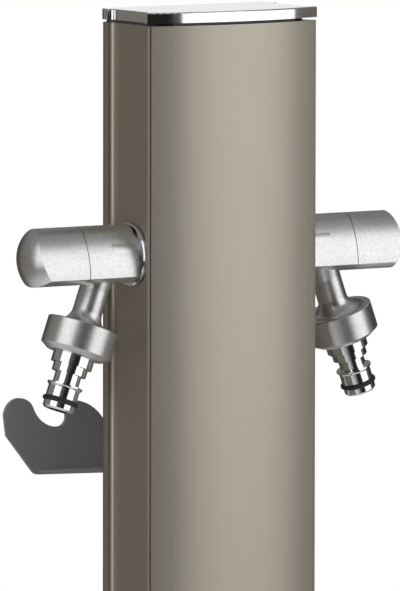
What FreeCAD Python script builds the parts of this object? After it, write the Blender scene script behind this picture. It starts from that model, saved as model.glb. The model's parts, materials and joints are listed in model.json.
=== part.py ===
import FreeCAD, Part

import math
import os

import Sketcher

# Garden standpipe: a fluted column with a convex front cover, a chrome cap, two side taps
# with hose nipples and a hose holder behind. Millimetres, +Z up. The origin is the middle of
# the base plate's underside, straight below the axis of the taps; the front cover faces -Y.
#
# Two local frames repeat. In a tap's frame +X points out of the column along the tap axis.
# In a spout's frame +Z points along the spout, away from the tap axis.

SIZES = [
    ("column_height", 1000, "ground to the top of the cap"),
    ("column_width", 100, "between the front corners"),
    ("front_reach", 19.4, "tap axis to the line of the front corners"),
    ("back_reach", 26.5, "tap axis to the back"),
    ("front_bulge", 8.5, "rise of the convex cover over that line"),
    ("flute_depth", 2.6, "how far each side is sunk"),
    ("flute_flat", 14.5, "half length of the flat bottom of a flute"),
    ("flute_blend", 2.8, "radius that leads out of the flat"),
    ("back_corner", 6.5, "radius of the back corners"),
    ("profile_wall", 2.2, "wall of the extrusion"),
    ("lip_width", 1.4, "bare edge of the extrusion beside the cover"),
    ("cover_seam", 0.4, "dark line between lip and cover"),
    ("cover_seat", 0.8, "front corners to the ledge that the cover rests on"),
    ("cover_wall", 2, "wall of the cover"),
    ("ledge_reach", 6.5, "ledge that the cover is hooked behind"),
    ("ledge_thickness", 2, ""),
    ("hook_thickness", 1.5, "leg of the cover"),
    ("hook_barb", 1.2, "how far its barb reaches behind the ledge"),
    ("hook_play", 0.2, "air round the hook"),
    ("port_radius", 3.6, "screw port, outside"),
    ("port_bore", 1.8, "screw port, hole"),
    ("front_port_y", 9, "axis to the front ports"),
    ("back_port_y", 21.1, "axis to the back ports"),
    ("port_inset", 8, "front corners in to the ports"),
    ("relief_half_height", 17, "front ports milled away beside the taps' washers"),
    ("relief_margin", 1, "milled beyond the port"),
    ("cap_thickness", 5.3, ""),
    ("cap_gap", 1.5, "shadow gap under the cap"),
    ("cap_overhang", 0.4, "cap beyond the column"),
    ("cap_edge", 0.6, "rounding of the upper edge of the cap"),
    ("gap_inset", 1.7, "how far the shadow gap goes in"),
    ("gap_front_inset", 14, "front corners in to the carrier's front part"),
    ("ear_margin", 0.7, "carrier round a screw head"),
    ("plug_depth", 9, "cap carrier inside the column"),
    ("plug_play", 0.4, "air round the carrier"),
    ("cap_pin_radius", 2, "pins under the cap plate"),
    ("cap_pin_length", 5, ""),
    ("cap_pin_x", 22, ""),
    ("cap_pin_y", 8, ""),
    ("cap_pin_play", 0.1, ""),
    ("base_length", 180, ""),
    ("base_depth", 150, ""),
    ("base_thickness", 8, ""),
    ("base_corner", 10, ""),
    ("anchor_spacing_x", 150, ""),
    ("anchor_spacing_y", 120, ""),
    ("anchor_hole", 5.5, "radius"),
    ("supply_hole", 13.5, "radius of the hole for the supply pipe"),
    ("foot_screw_length", 26, "under the head"),
    ("foot_recess", 4.5, "depth of the recess for a foot screw's head"),
    ("cap_screw_length", 18, "under the head"),
    ("port_screw_radius", 1.7, "self-tapping screw in a port"),
    ("port_screw_head", 3.5, "radius"),
    ("port_screw_head_height", 2, ""),
    ("head_room", 0.5, "air round a screw head in its recess"),
    ("screw_slack", 0.2, "radial air round a screw's shank"),
    ("inlet_flange", 22.5, "radius"),
    ("inlet_flange_thickness", 5, ""),
    ("inlet_body", 13.5, "radius"),
    ("inlet_height", 30, "above the base plate"),
    ("inlet_thread", 9.3, "radius of the female G1/2 thread at its crest"),
    ("inlet_thread_depth", 15, ""),
    ("inlet_screw_circle", 17.7, "radius of its screw circle"),
    ("inlet_screw_count", 3, ""),
    ("inlet_screw_radius", 2, ""),
    ("inlet_screw_head", 3.5, ""),
    ("inlet_screw_head_height", 2.6, ""),
    ("inlet_screw_length", 12, "under the head"),
    ("pipe_radius", 7.5, "riser, outside"),
    ("pipe_bore", 6.5, ""),
    ("pipe_play", 0.1, "air round the pipe in its sockets"),
    ("socket_depth", 12, "pipe in its sockets"),
    ("pipe_nut_flats", 24, "across the flats"),
    ("pipe_nut_height", 11, ""),
    ("clip_height", 16, ""),
    ("clip_width", 24, ""),
    ("clip_lip", 3, "its lips, in front of the pipe's axis"),
    ("clip_screw_radius", 1.9, ""),
    ("clip_screw_head", 3.6, ""),
    ("clip_screw_head_height", 2.2, ""),
    ("clip_screw_length", 9, ""),
    ("manifold_reach", 30, "axis to each end of the manifold"),
    ("manifold_radius", 13.5, ""),
    ("manifold_bore", 7, ""),
    ("manifold_branch", 11.5, "radius of the branch to the riser"),
    ("manifold_branch_reach", 32, "tap axis to the end of the branch"),
    ("thread_play", 0.1, "air between a thread and its socket"),
    ("tap_drop", 121.6, "top of the cap down to the tap axis"),
    ("tail_radius", 10.4, "threaded tail of a tap, G1/2"),
    ("tail_reach", 18, "column axis to the end of the tail"),
    ("tail_bore", 6, ""),
    ("wall_hole_slack", 0.4, "air round a tail in the wall"),
    ("washer_radius", 14.5, "washer and lock nut inside the wall"),
    ("washer_thickness", 1, ""),
    ("lock_nut_flats", 27, ""),
    ("lock_nut_height", 6, ""),
    ("gasket_thickness", 0.6, "behind the rosette"),
    ("rosette_radius", 15.7, ""),
    ("gasket_radius", 14.4, ""),
    ("rosette_thickness", 1.6, ""),
    ("rosette_edge", 0.5, ""),
    ("shoulder_radius", 12, "turned shoulder between rosette and tap body"),
    ("shoulder_length", 1.1, ""),
    ("body_length", 28.8, "arched part of the tap body"),
    ("arch_half_width", 13.75, ""),
    ("arch_rise", 15.5, "tap axis to the crown"),
    ("arch_drop", 9.8, "tap axis down to the sharp lower edge"),
    ("arch_crown", 8.5, "radius over the crown"),
    ("arch_belly", 3.9, "bulge of the underside below that edge"),
    ("handle_gap", 0.4, "joint line between body and handle"),
    ("handle_length", 30.9, "to the top of the dome"),
    ("dome_radius", 21.5, ""),
    ("dome_margin", 1, "cut of the dome beyond the arch's corners"),
    ("handle_wall", 2.6, ""),
    ("handle_hollow", 18, "depth of the hollow inside"),
    ("handle_boss", 7, "radius of the boss on the spindle"),
    ("nut_clearance", 10.2, "radius cleared for the cartridge's hexagon"),
    ("nut_clearance_depth", 5, ""),
    ("seat_inset", 9.7, "start of the body to the seat of the cartridge"),
    ("cartridge_thread", 8.3, "radius"),
    ("cartridge_flange", 9.6, ""),
    ("cartridge_flange_thickness", 1.2, ""),
    ("cartridge_flats", 17, ""),
    ("cartridge_hex_height", 2.8, ""),
    ("disc_chamber", 6.6, "radius"),
    ("disc_radius", 6.5, "ceramic discs"),
    ("disc_thickness", 3, ""),
    ("disc_gap", 0.05, "between the two discs"),
    ("disc_hole", 1.6, ""),
    ("disc_hole_offset", 3.4, ""),
    ("window_radius", 2.6, "side windows of the cartridge"),
    ("seal_thickness", 2, "seat seal"),
    ("seal_bore", 4.5, ""),
    ("driver_radius", 5.8, "driver flange of the spindle"),
    ("driver_thickness", 2.2, ""),
    ("spindle_radius", 4, ""),
    ("spindle_play", 0.06, "running fit of the spindle"),
    ("spindle_engagement", 12.5, "spindle inside the handle"),
    ("spindle_seal_place", 25.7, "start of the body to the middle of the seal"),
    ("spindle_seal_width", 1.8, ""),
    ("spindle_seal_depth", 1.5, ""),
    ("spindle_seal_play", 0.05, "air round the seal in its groove"),
    ("grub_radius", 2, ""),
    ("grub_inset", 9, "start of the handle to the grub screw"),
    ("grub_length", 7, ""),
    ("spout_inset", 12.3, "start of the body to where the spout axis meets the tap axis"),
    ("spout_tilt", 20, "degrees outward from straight down"),
    ("neck_radius", 7.5, ""),
    ("neck_root", 8.6, "neck radius inside the body"),
    ("neck_waist", 18, "along the spout, where the neck is slimmest"),
    ("neck_flare_start", 29, "along the spout"),
    ("neck_flare_radius", 11.8, ""),
    ("neck_flare_height", 7, ""),
    ("neck_lead", 2, "bevel from the flare to the thread"),
    ("neck_start", 5, "tap axis to the start of the neck, inside the body"),
    ("spout_bore", 5, ""),
    ("spout_thread", 13.1, "radius of the G3/4 thread"),
    ("spout_thread_length", 9, ""),
    ("collar_radius", 18, ""),
    ("collar_rise", 2.2, "rim of the collar above the thread's first turn"),
    ("collar_rim_bore", 14.6, "radius of the recess round the neck"),
    ("collar_height", 13.5, "straight part"),
    ("collar_bevel", 2.5, "height of its bevelled underside"),
    ("collar_bevel_radius", 14.2, "radius at the underside"),
    ("collar_edge", 0.5, ""),
    ("union_washer_thickness", 1.4, ""),
    ("nipple_flange", 12.5, ""),
    ("nipple_flange_thickness", 1.8, ""),
    ("nipple_ring", 10.5, "first ring outside the collar"),
    ("nipple_ring_length", 7, "from the flange"),
    ("nipple_play", 0.1, "air round the ring in the collar's floor"),
    ("nipple_step", 8.8, ""),
    ("nipple_step_length", 4.3, ""),
    ("nipple_neck", 6.65, "groove that the hose connector locks in"),
    ("nipple_neck_length", 5.8, ""),
    ("nipple_shoulder", 9, ""),
    ("nipple_shoulder_length", 1.8, ""),
    ("nipple_nose", 8, ""),
    ("nipple_land_length", 5.2, "nose between shoulder and O-ring"),
    ("nipple_nose_length", 3.5, "nose below the O-ring"),
    ("nipple_bevel", 1, ""),
    ("nipple_bore", 5, ""),
    ("o_ring_wire", 1.3, "radius of its wire"),
    ("o_ring_groove", 6.5, "radius at the groove's floor"),
    ("o_ring_play", 0.05, "air round the O-ring in its groove"),
    ("holder_thickness", 2.3, "sheet of the hose holder"),
    ("holder_reach", 74.8, "column axis to the back face of the holder"),
    ("holder_drop", 116.5, "tap axis down to the underside of the holder's shelf"),
    ("holder_half_width", 76.2, ""),
    ("finger_radius", 8.8, ""),
    ("finger_rise", 39.3, "above the underside of the shelf"),
    ("notch_axis", 44.4, "column axis to the lowest point of the hose notch"),
    ("notch_rise", 23.6, "above the underside of the shelf"),
    ("notch_radius", 4.8, "tight side of the notch, under the nose"),
    ("nose_axis", 37.5, "column axis to the middle of the nose beside the notch"),
    ("nose_radius", 3.6, ""),
    ("hump_radius", 24, "long slope from the nose to the saddle"),
    ("saddle_half_width", 18, "hollow between the two slopes"),
    ("holder_slant", 58.2, "half width at the lower corners"),
    ("holder_corner", 2, "cut length of the rounding at those corners"),
    ("hip_rise", 20.6, "underside of the shelf up to where the slant starts"),
    ("holder_hip_inset", 1.3, "that point inside the half width"),
    ("shelf_taper_x", 24.8, "half width where the shelf turns into its tongue"),
    ("shelf_taper_reach", 62.8, "column axis to that point"),
    ("tongue_half_width", 22, ""),
    ("shelf_hole", 3, "radius of the drain holes"),
    ("shelf_hole_x", 20.5, ""),
    ("shelf_hole_y", 68.1, ""),
    ("tab_height", 34, "tab on the column's back"),
    ("holder_screw_radius", 2.5, ""),
    ("holder_screw_x", 13, ""),
    ("holder_screw_rise", 20, "above the holder's floor"),
    ("holder_screw_head", 4.6, ""),
    ("holder_screw_head_height", 2.8, ""),
    ("holder_screw_length", 14, "under the head"),
    ("rivet_nut_radius", 3.6, ""),
    ("rivet_nut_length", 9, ""),
    ("rivet_nut_swell", 4.8, "radius inside the wall"),
    ("rivet_nut_swell_height", 2, ""),
]

document = FreeCAD.newDocument("Standpipe")


def make_sheet():
    """Put every driving dimension in a cell with an alias."""
    sheet = document.addObject("Spreadsheet::Sheet", "Sizes")
    for row, (alias, value, note) in enumerate(SIZES, start=1):
        sheet.set(f"A{row}", alias)
        sheet.set(f"B{row}", str(value))
        sheet.set(f"C{row}", note)
        sheet.setAlias(f"B{row}", alias)
    document.recompute()
    return sheet


SHEET = make_sheet()


class Size:
    """A size worked out from the sheet: its number now, and the expression that binds it."""

    def __init__(self, number, text):
        self.number = number
        self.text = text

    def __add__(self, other):
        return combine(self, "+", other)

    def __sub__(self, other):
        return combine(self, "-", other)

    def __mul__(self, other):
        return combine(self, "*", other)

    def __truediv__(self, other):
        return combine(self, "/", other)

    def __rmul__(self, other):
        return combine(self, "*", other)

    def __neg__(self):
        return Size(-self.number, f"(-1 * {self.text})")


def combine(left, sign, right):
    """Join two sizes, or a size and a plain number, in number and in text alike."""
    if not isinstance(right, Size):
        right = Size(right, str(right))
    numbers = {
        "+": lambda a, b: a + b,
        "-": lambda a, b: a - b,
        "*": lambda a, b: a * b,
        "/": lambda a, b: a / b,
    }
    return Size(numbers[sign](left.number, right.number), f"({left.text} {sign} {right.text})")


def root(value):
    return Size(math.sqrt(value.number), f"sqrt({value.text})")


def size(alias):
    return Size(float(SHEET.get(alias)), f"Sizes.{alias}")


def sagitta_radius(half_chord, rise):
    """Radius of the arc over a chord."""
    return (half_chord * half_chord + rise * rise) / (2 * rise)


# Placements

TAP_Z = size("column_height") - size("tap_drop")
SIDES = {"left": 180, "right": 0}
FLAT_X = size("column_width") / 2 - size("flute_depth")
GASKET_END = FLAT_X + size("gasket_thickness")
ROSETTE_END = GASKET_END + size("rosette_thickness")
BODY_START = ROSETTE_END + size("shoulder_length")
BODY_END = BODY_START + size("body_length")
HANDLE_START = BODY_END + size("handle_gap")
HANDLE_TIP = HANDLE_START + size("handle_length")
SEAT_X = BODY_START + size("seat_inset")
SPOUT_X = BODY_START + size("spout_inset")


def tap_placement(side):
    """The tap frame: +X out of the column on that side."""
    turn = FreeCAD.Rotation(FreeCAD.Vector(0, 0, 1), SIDES[side])
    return FreeCAD.Placement(FreeCAD.Vector(0, 0, TAP_Z.number), turn)


def spout_placement(side):
    """The spout frame: +Z along the spout, from where its axis meets the tap axis."""
    tilt = FreeCAD.Rotation(FreeCAD.Vector(0, 1, 0), 180 - size("spout_tilt").number)
    start = FreeCAD.Vector(SPOUT_X.number, 0, 0)
    return tap_placement(side) * FreeCAD.Placement(start, tilt)


def at_height(height):
    return FreeCAD.Placement(FreeCAD.Vector(0, 0, height.number), FreeCAD.Rotation())


# Sketches and features

PARTS = []


def new_body(label, placement=None):
    body = document.addObject("PartDesign::Body", label)
    body.Label = label
    if placement is not None:
        body.Placement = placement
    PARTS.append(body)
    return body


def new_sketch(body, plane, offset=None, turn=None):
    """A sketch on one of the body's origin planes, moved along its normal or turned in it."""
    sketch = body.newObject("Sketcher::SketchObject", f"{body.Label}_sketch")
    support = [f for f in body.Origin.OriginFeatures if f.Role == plane][0]
    sketch.AttachmentSupport = [(support, "")]
    sketch.MapMode = "FlatFace"
    if offset is not None:
        sketch.AttachmentOffset = FreeCAD.Placement(
            FreeCAD.Vector(0, 0, offset.number), FreeCAD.Rotation()
        )
        sketch.setExpression("AttachmentOffset.Base.z", offset.text)
    if turn is not None:
        start, angle = turn
        sketch.AttachmentOffset = FreeCAD.Placement(
            FreeCAD.Vector(start.number, 0, 0),
            FreeCAD.Rotation(FreeCAD.Vector(0, 0, 1), angle.number),
        )
        sketch.setExpression("AttachmentOffset.Base.x", start.text)
        sketch.setExpression("AttachmentOffset.Rotation.Angle", angle.text)
    return sketch


def number(value):
    return value.number if isinstance(value, Size) else float(value)


def pin_point(sketch, edge, end, x, y):
    """Hold a point at its place, on an axis where a coordinate is zero."""
    for kind, axis, value in (("DistanceX", -2, x), ("DistanceY", -1, y)):
        if isinstance(value, Size):
            row = sketch.addConstraint(
                Sketcher.Constraint(kind, -1, 1, edge, end, value.number)
            )
            sketch.setExpression(f"Constraints[{row}]", value.text)
        else:
            sketch.addConstraint(Sketcher.Constraint("PointOnObject", edge, end, axis))


def arc_between(a, b, radius):
    """The short arc from a to b. It turns left for a positive radius, right for a negative."""
    chord = b - a
    middle = (a + b) * 0.5
    left = FreeCAD.Vector(-chord.y, chord.x, 0).normalize()
    rise = math.sqrt(max(radius * radius - chord.Length**2 / 4, 0))
    centre = middle + left * math.copysign(rise, radius)
    first = math.atan2(a.y - centre.y, a.x - centre.x)
    last = math.atan2(b.y - centre.y, b.x - centre.x)
    if radius < 0:
        first, last = last, first
    circle = Part.Circle(centre, FreeCAD.Vector(0, 0, 1), abs(radius))
    return Part.ArcOfCircle(circle, first, last)


def outline(sketch, corners):
    """Draw a closed outline. A corner's third value is the radius of the arc that leaves it."""
    edges = []
    for index, corner in enumerate(corners):
        following = corners[(index + 1) % len(corners)]
        a = FreeCAD.Vector(number(corner[0]), number(corner[1]), 0)
        b = FreeCAD.Vector(number(following[0]), number(following[1]), 0)
        if len(corner) == 2:
            edges.append((sketch.addGeometry(Part.LineSegment(a, b), False), 1, 2))
            continue
        radius = corner[2]
        edge = sketch.addGeometry(arc_between(a, b, radius.number), False)
        turns_left = radius.number > 0
        edges.append((edge, 1, 2) if turns_left else (edge, 2, 1))
    for index, (edge, start, end) in enumerate(edges):
        following, next_start, _ = edges[(index + 1) % len(edges)]
        sketch.addConstraint(Sketcher.Constraint("Coincident", edge, end, following, next_start))
    for (edge, start, _), corner in zip(edges, corners):
        pin_point(sketch, edge, start, corner[0], corner[1])
        if len(corner) == 3:
            radius = corner[2] if corner[2].number > 0 else -corner[2]
            row = sketch.addConstraint(Sketcher.Constraint("Radius", edge, radius.number))
            sketch.setExpression(f"Constraints[{row}]", radius.text)


def circle(sketch, x, y, radius):
    centre = FreeCAD.Vector(number(x), number(y), 0)
    edge = sketch.addGeometry(
        Part.Circle(centre, FreeCAD.Vector(0, 0, 1), radius.number), False
    )
    pin_point(sketch, edge, 3, x, y)
    row = sketch.addConstraint(Sketcher.Constraint("Radius", edge, radius.number))
    sketch.setExpression(f"Constraints[{row}]", radius.text)


def hexagon(sketch, flats):
    """A hexagon round the sketch's origin, flat sides left and right."""
    side = flats / 2
    corner = flats / root(Size(3, "3"))
    outline(
        sketch,
        [
            (side, -corner / 2),
            (side, corner / 2),
            (0, corner),
            (-side, corner / 2),
            (-side, -corner / 2),
            (0, -corner),
        ],
    )


def rectangle(sketch, x_low, x_high, y_low, y_high):
    outline(sketch, [(x_low, y_low), (x_high, y_low), (x_high, y_high), (x_low, y_high)])


def extrude(body, sketch, length, kind="Pad", back=False, both=False):
    """Pad or pocket a sketch by a bound length."""
    feature = body.newObject(f"PartDesign::{kind}", f"{body.Label}_{kind.lower()}")
    feature.Profile = sketch
    feature.Length = length.number
    feature.setExpression("Length", length.text)
    feature.Reversed = back
    feature.Midplane = both
    document.recompute()
    return feature


def revolve(body, sketch, axis="V_Axis", kind="Revolution"):
    feature = body.newObject(f"PartDesign::{kind}", f"{body.Label}_{kind.lower()}")
    feature.Profile = sketch
    feature.ReferenceAxis = (sketch, [axis])
    feature.Angle = 360
    document.recompute()
    return feature


def turned_part(label, corners, placement=None):
    """A part turned about its own Z: corners are (radius, height)."""
    body = new_body(label, placement)
    sketch = new_sketch(body, "XZ_Plane")
    outline(sketch, corners)
    revolve(body, sketch)
    return body


def turned_across(label, corners, placement=None):
    """A part turned about its own X: corners are (place along X, radius)."""
    body = new_body(label, placement)
    sketch = new_sketch(body, "XZ_Plane")
    outline(sketch, corners)
    revolve(body, sketch, "H_Axis")
    return body


def tube(start, end, inner, outer):
    """Corners of a plain tube for the two functions above, along Z."""
    return [(inner, start), (outer, start), (outer, end), (inner, end)]


def tube_across(start, end, inner, outer):
    return [(start, inner), (end, inner), (end, outer), (start, outer)]


def mirror_across(body, features, plane="YZ_Plane"):
    mirrored = body.newObject("PartDesign::Mirrored", f"{body.Label}_mirror")
    mirrored.Originals = features
    support = [f for f in body.Origin.OriginFeatures if f.Role == plane][0]
    mirrored.MirrorPlane = (support, [""])
    body.Tip = mirrored
    document.recompute()
    return mirrored


# Column

HALF_WIDTH = size("column_width") / 2
FRONT = -size("front_reach")
BACK = size("back_reach")
FRONT_ARC = sagitta_radius(HALF_WIDTH, size("front_bulge"))
FRONT_ARC_Y = FRONT - size("front_bulge") + FRONT_ARC
CAP_BOTTOM = size("column_height") - size("cap_thickness")
COLUMN_TOP = CAP_BOTTOM - size("cap_gap")
COLUMN_LENGTH = COLUMN_TOP - size("base_thickness")


def side_outline(grow):
    """Right side of the column's plan, from the front corner to the back, grown outward.

    The lands at both ends lead into the flat bottom of the flute by hollow arcs.
    """
    corner_x = HALF_WIDTH + grow
    flat_x = FLAT_X + grow
    flat = size("flute_flat")
    blend = size("flute_blend") - grow
    aside = FLAT_X + size("flute_blend") - corner_x
    end_y = flat + root(blend * blend - aside * aside)
    return [
        (corner_x, -end_y, -blend),
        (flat_x, -flat),
        (flat_x, flat, -blend),
        (corner_x, end_y),
        (corner_x, BACK - size("back_corner"), size("back_corner") + grow),
        (HALF_WIDTH - size("back_corner"), BACK + grow),
    ]


def mirrored_corners(corners):
    """The same corners on the other side, in reverse order, with their arcs kept."""
    flipped = []
    count = len(corners)
    for index in range(count - 1, -1, -1):
        x, y = corners[index][0], corners[index][1]
        before = corners[index - 1] if index > 0 else ()
        flipped.append((-x, y, before[2]) if len(before) == 3 else (-x, y))
    return flipped


def plan_outline(grow):
    """The whole plan: the convex front and both fluted sides, grown outward."""
    corner_x = HALF_WIDTH + grow
    arc = FRONT_ARC + grow
    corner_y = FRONT_ARC_Y - root(arc * arc - corner_x * corner_x)
    right = [(corner_x, corner_y)] + side_outline(grow)
    return right + mirrored_corners(right)[:-1] + [(-corner_x, corner_y, arc)]


PORT_X = HALF_WIDTH - size("port_inset")
PORT_PLACES = [(PORT_X, -size("front_port_y")), (PORT_X, size("back_port_y"))]

LEDGE_FRONT = FRONT + size("cover_seat")
LEDGE_BACK = LEDGE_FRONT + size("ledge_thickness")
LIP_X = HALF_WIDTH - size("lip_width")
LEDGE_X = LIP_X - size("ledge_reach")
WALL_IN = FLAT_X - size("profile_wall")
BACK_IN = BACK - size("profile_wall")
HOLDER_FLOOR = TAP_Z - size("holder_drop")
HOLDER_SCREW_Z = HOLDER_FLOOR + size("holder_screw_rise")
BRANCH_END = TAP_Z - size("manifold_branch_reach")
CLIP_HEIGHTS = [BRANCH_END * share / 3 for share in (1, 2)]


def column_profile():
    """Extrusion: open at the front, with a lip and a ledge each side and four screw ports."""
    wall = size("profile_wall")
    body = new_body("column_profile", at_height(size("base_thickness")))
    inner = [corner[:2] for corner in side_outline(-wall)]
    corner_radius = size("back_corner") - wall
    inner_blend = size("flute_blend") + wall
    blend_x = FLAT_X + size("flute_blend")
    rise = LEDGE_BACK + size("flute_flat")
    ledge_root = blend_x - root(inner_blend * inner_blend - rise * rise)
    corners = [(LIP_X, FRONT), (HALF_WIDTH, FRONT)]
    corners += side_outline(Size(0, "0"))
    corners += [
        (0, BACK),
        (0, BACK_IN),
        (*inner[5], -corner_radius),
        inner[4],
        (*inner[3], inner_blend),
        inner[2],
        (*inner[1], inner_blend),
        (ledge_root, LEDGE_BACK),
        (LEDGE_X, LEDGE_BACK),
        (LEDGE_X, LEDGE_FRONT),
        (LIP_X, LEDGE_FRONT),
    ]
    sketch = new_sketch(body, "XY_Plane")
    outline(sketch, corners)
    half = extrude(body, sketch, COLUMN_LENGTH)
    ports = new_sketch(body, "XY_Plane")
    for x, y in PORT_PLACES:
        circle(ports, x, y, size("port_radius"))
    bosses = extrude(body, ports, COLUMN_LENGTH)
    mirror_across(body, [half, bosses])
    bores = new_sketch(body, "XY_Plane")
    port_circles(bores, size("port_bore"))
    extrude(body, bores, COLUMN_LENGTH, "Pocket", back=True)
    drill_column(body)
    return body


def drill_column(body):
    """Holes for the two tap tails, the clip screws and the rivet nuts."""
    rise = TAP_Z - size("base_thickness")
    tails = new_sketch(body, "YZ_Plane")
    circle(tails, 0, rise, size("tail_radius") + size("wall_hole_slack"))
    extrude(body, tails, size("column_width") * 2, "Pocket", both=True)
    back = new_sketch(body, "XZ_Plane", -BACK)
    for place in CLIP_HEIGHTS:
        height = place - size("base_thickness")
        circle(back, 0, height, size("clip_screw_radius") + size("screw_slack"))
    height = HOLDER_SCREW_Z - size("base_thickness")
    for x in (size("holder_screw_x"), -size("holder_screw_x")):
        circle(back, x, height, size("rivet_nut_radius") + size("screw_slack"))
    extrude(body, back, size("profile_wall") * 2, "Pocket", both=True)
    reach = size("port_radius") + size("relief_margin")
    depth = WALL_IN - PORT_X + reach
    for face, inward in ((WALL_IN, False), (-WALL_IN, True)):
        relief = new_sketch(body, "YZ_Plane", face)
        low = rise - size("relief_half_height")
        high = rise + size("relief_half_height")
        rectangle(relief, -size("front_port_y") - reach, reach - size("front_port_y"), low, high)
        extrude(body, relief, depth, "Pocket", back=inward)


def front_cover():
    """Convex panel with two hooked legs that snap behind the ledges."""
    body = new_body("front_cover", at_height(size("base_thickness")))
    edge_x = LIP_X - size("cover_seam")
    edge_y = FRONT_ARC_Y - root(FRONT_ARC * FRONT_ARC - edge_x * edge_x)
    inner_arc = FRONT_ARC - size("cover_wall")
    leg_out = LEDGE_X - size("hook_play")
    leg_in = leg_out - size("hook_thickness")
    leg_y = FRONT_ARC_Y - root(inner_arc * inner_arc - leg_in * leg_in)
    behind = LEDGE_BACK + size("hook_play")
    right = [
        (edge_x, edge_y),
        (edge_x, LEDGE_FRONT),
        (leg_out, LEDGE_FRONT),
        (leg_out, behind),
        (LEDGE_X + size("hook_barb"), behind),
        (leg_out, behind + size("hook_thickness")),
        (leg_in, behind + size("hook_thickness")),
        (leg_in, leg_y, -inner_arc),
    ]
    left = [(-corner[0], corner[1]) for corner in reversed(right)]
    sketch = new_sketch(body, "XY_Plane")
    outline(sketch, right + left[:-1] + [(-edge_x, edge_y, FRONT_ARC)])
    extrude(body, sketch, COLUMN_LENGTH)
    return body


def port_circles(sketch, radius):
    """Four circles over the screw ports."""
    for x, y in PORT_PLACES:
        circle(sketch, x, y, radius)
        circle(sketch, -x, y, radius)


def pocket_circles(body, start, depth, places, radius):
    """Round pockets that go down from a height in the body's own frame."""
    sketch = new_sketch(body, "XY_Plane", start)
    for x, y in places:
        circle(sketch, x, y, radius)
    extrude(body, sketch, depth, "Pocket")


def four_places(x, y):
    return [(x, y), (-x, y), (x, -y), (-x, -y)]


def cap_carrier():
    """Recessed insert: a plate that makes the shadow gap, on a plug inside the column."""
    body = new_body("cap_carrier", at_height(COLUMN_TOP))
    gap = size("cap_gap")
    arc = FRONT_ARC - size("gap_inset")
    neck_x = HALF_WIDTH - size("gap_front_inset")
    neck_y = FRONT_ARC_Y - root(arc * arc - neck_x * neck_x)
    ear_x = FLAT_X - size("gap_inset")
    ear_y = -size("front_port_y") - size("port_screw_head") - size("ear_margin")
    right = [(neck_x, neck_y), (neck_x, ear_y), (ear_x, ear_y)]
    right += side_outline(-size("gap_inset"))[2:]
    sketch = new_sketch(body, "XY_Plane")
    outline(sketch, right + mirrored_corners(right)[:-1] + [(-neck_x, neck_y, arc)])
    extrude(body, sketch, gap)
    plug = new_sketch(body, "XY_Plane")
    room_x = PORT_X - size("port_radius") - size("plug_play")
    front = LEDGE_BACK + size("hook_play") + size("hook_thickness") + size("plug_play")
    rectangle(plug, -room_x, room_x, front, BACK_IN - size("plug_play"))
    extrude(body, plug, size("plug_depth"), back=True)
    holes = new_sketch(body, "XY_Plane", gap)
    port_circles(holes, size("port_screw_radius") + size("screw_slack"))
    extrude(body, holes, gap, "Pocket")
    pins = four_places(size("cap_pin_x"), size("cap_pin_y"))
    depth = size("cap_pin_length") + size("head_room")
    pocket_circles(body, gap, depth, pins, size("cap_pin_radius") + size("cap_pin_play"))
    return body


def pan_screw(head, head_height, shank, length):
    """Half outline of a screw: the head stands on height zero, the shank goes down."""
    return [(0, -length), (shank, -length), (shank, 0), (head, 0), (head, head_height), (0, head_height)]


UP = FreeCAD.Rotation()
DOWN = FreeCAD.Rotation(FreeCAD.Vector(1, 0, 0), 180)
BACKWARD = FreeCAD.Rotation(FreeCAD.Vector(1, 0, 0), -90)


def placed_copies(label, profile, places, turn=UP):
    """One turned shape at several places, as one node of separate solids."""
    body = document.addObject("PartDesign::Body", f"{label}_pattern")
    sketch = new_sketch(body, "XZ_Plane")
    outline(sketch, profile)
    revolve(body, sketch)
    return group_copies(label, body, places, turn)


def group_copies(label, body, places, turn=UP):
    solids = []
    for x, y, z in places:
        solid = body.Shape.copy()
        point = FreeCAD.Vector(number(x), number(y), number(z))
        solid.Placement = FreeCAD.Placement(point, turn)
        solids.append(solid)
    group = document.addObject("Part::Feature", label)
    group.Label = label
    group.Shape = Part.makeCompound(solids)
    PARTS.append(group)
    return group


def port_points(height):
    points = []
    for x, y in PORT_PLACES:
        points += [(x, y, height), (-x, y, height)]
    return points


def cap_screws():
    profile = pan_screw(
        size("port_screw_head"),
        size("port_screw_head_height"),
        size("port_screw_radius"),
        size("cap_screw_length"),
    )
    return placed_copies("cap_screws", profile, port_points(CAP_BOTTOM))


def cap_plate():
    """Polished plate with a softened upper edge, on four pins in the carrier."""
    body = new_body("cap_plate", at_height(CAP_BOTTOM))
    sketch = new_sketch(body, "XY_Plane")
    outline(sketch, plan_outline(size("cap_overhang")))
    plate = extrude(body, sketch, size("cap_thickness"))
    middle = size("cap_thickness").number / 2
    edges = []
    for index, edge in enumerate(plate.Shape.Edges, start=1):
        if edge.BoundBox.ZMin > middle:
            edges.append(f"Edge{index}")
    rounding = body.newObject("PartDesign::Fillet", "cap_plate_rounding")
    rounding.Base = (plate, edges)
    rounding.Radius = size("cap_edge").number
    rounding.setExpression("Radius", size("cap_edge").text)
    document.recompute()
    hollows = new_sketch(body, "XY_Plane")
    port_circles(hollows, size("port_screw_head") + size("head_room"))
    depth = size("port_screw_head_height") + size("head_room")
    extrude(body, hollows, depth, "Pocket", back=True)
    pins = new_sketch(body, "XY_Plane")
    for x, y in four_places(size("cap_pin_x"), size("cap_pin_y")):
        circle(pins, x, y, size("cap_pin_radius"))
    extrude(body, pins, size("cap_pin_length"), back=True)
    return body


# Foot and inlet

BASE_TOP = size("base_thickness")


def inlet_screw_places():
    """Screw places round the inlet fitting, the first one towards the front."""
    count = round(size("inlet_screw_count").number)
    reach = size("inlet_screw_circle")
    places = []
    for index in range(count):
        angle = -math.pi / 2 + 2 * math.pi * index / count
        places.append((reach * round(math.cos(angle), 9), reach * round(math.sin(angle), 9)))
    return places


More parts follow.
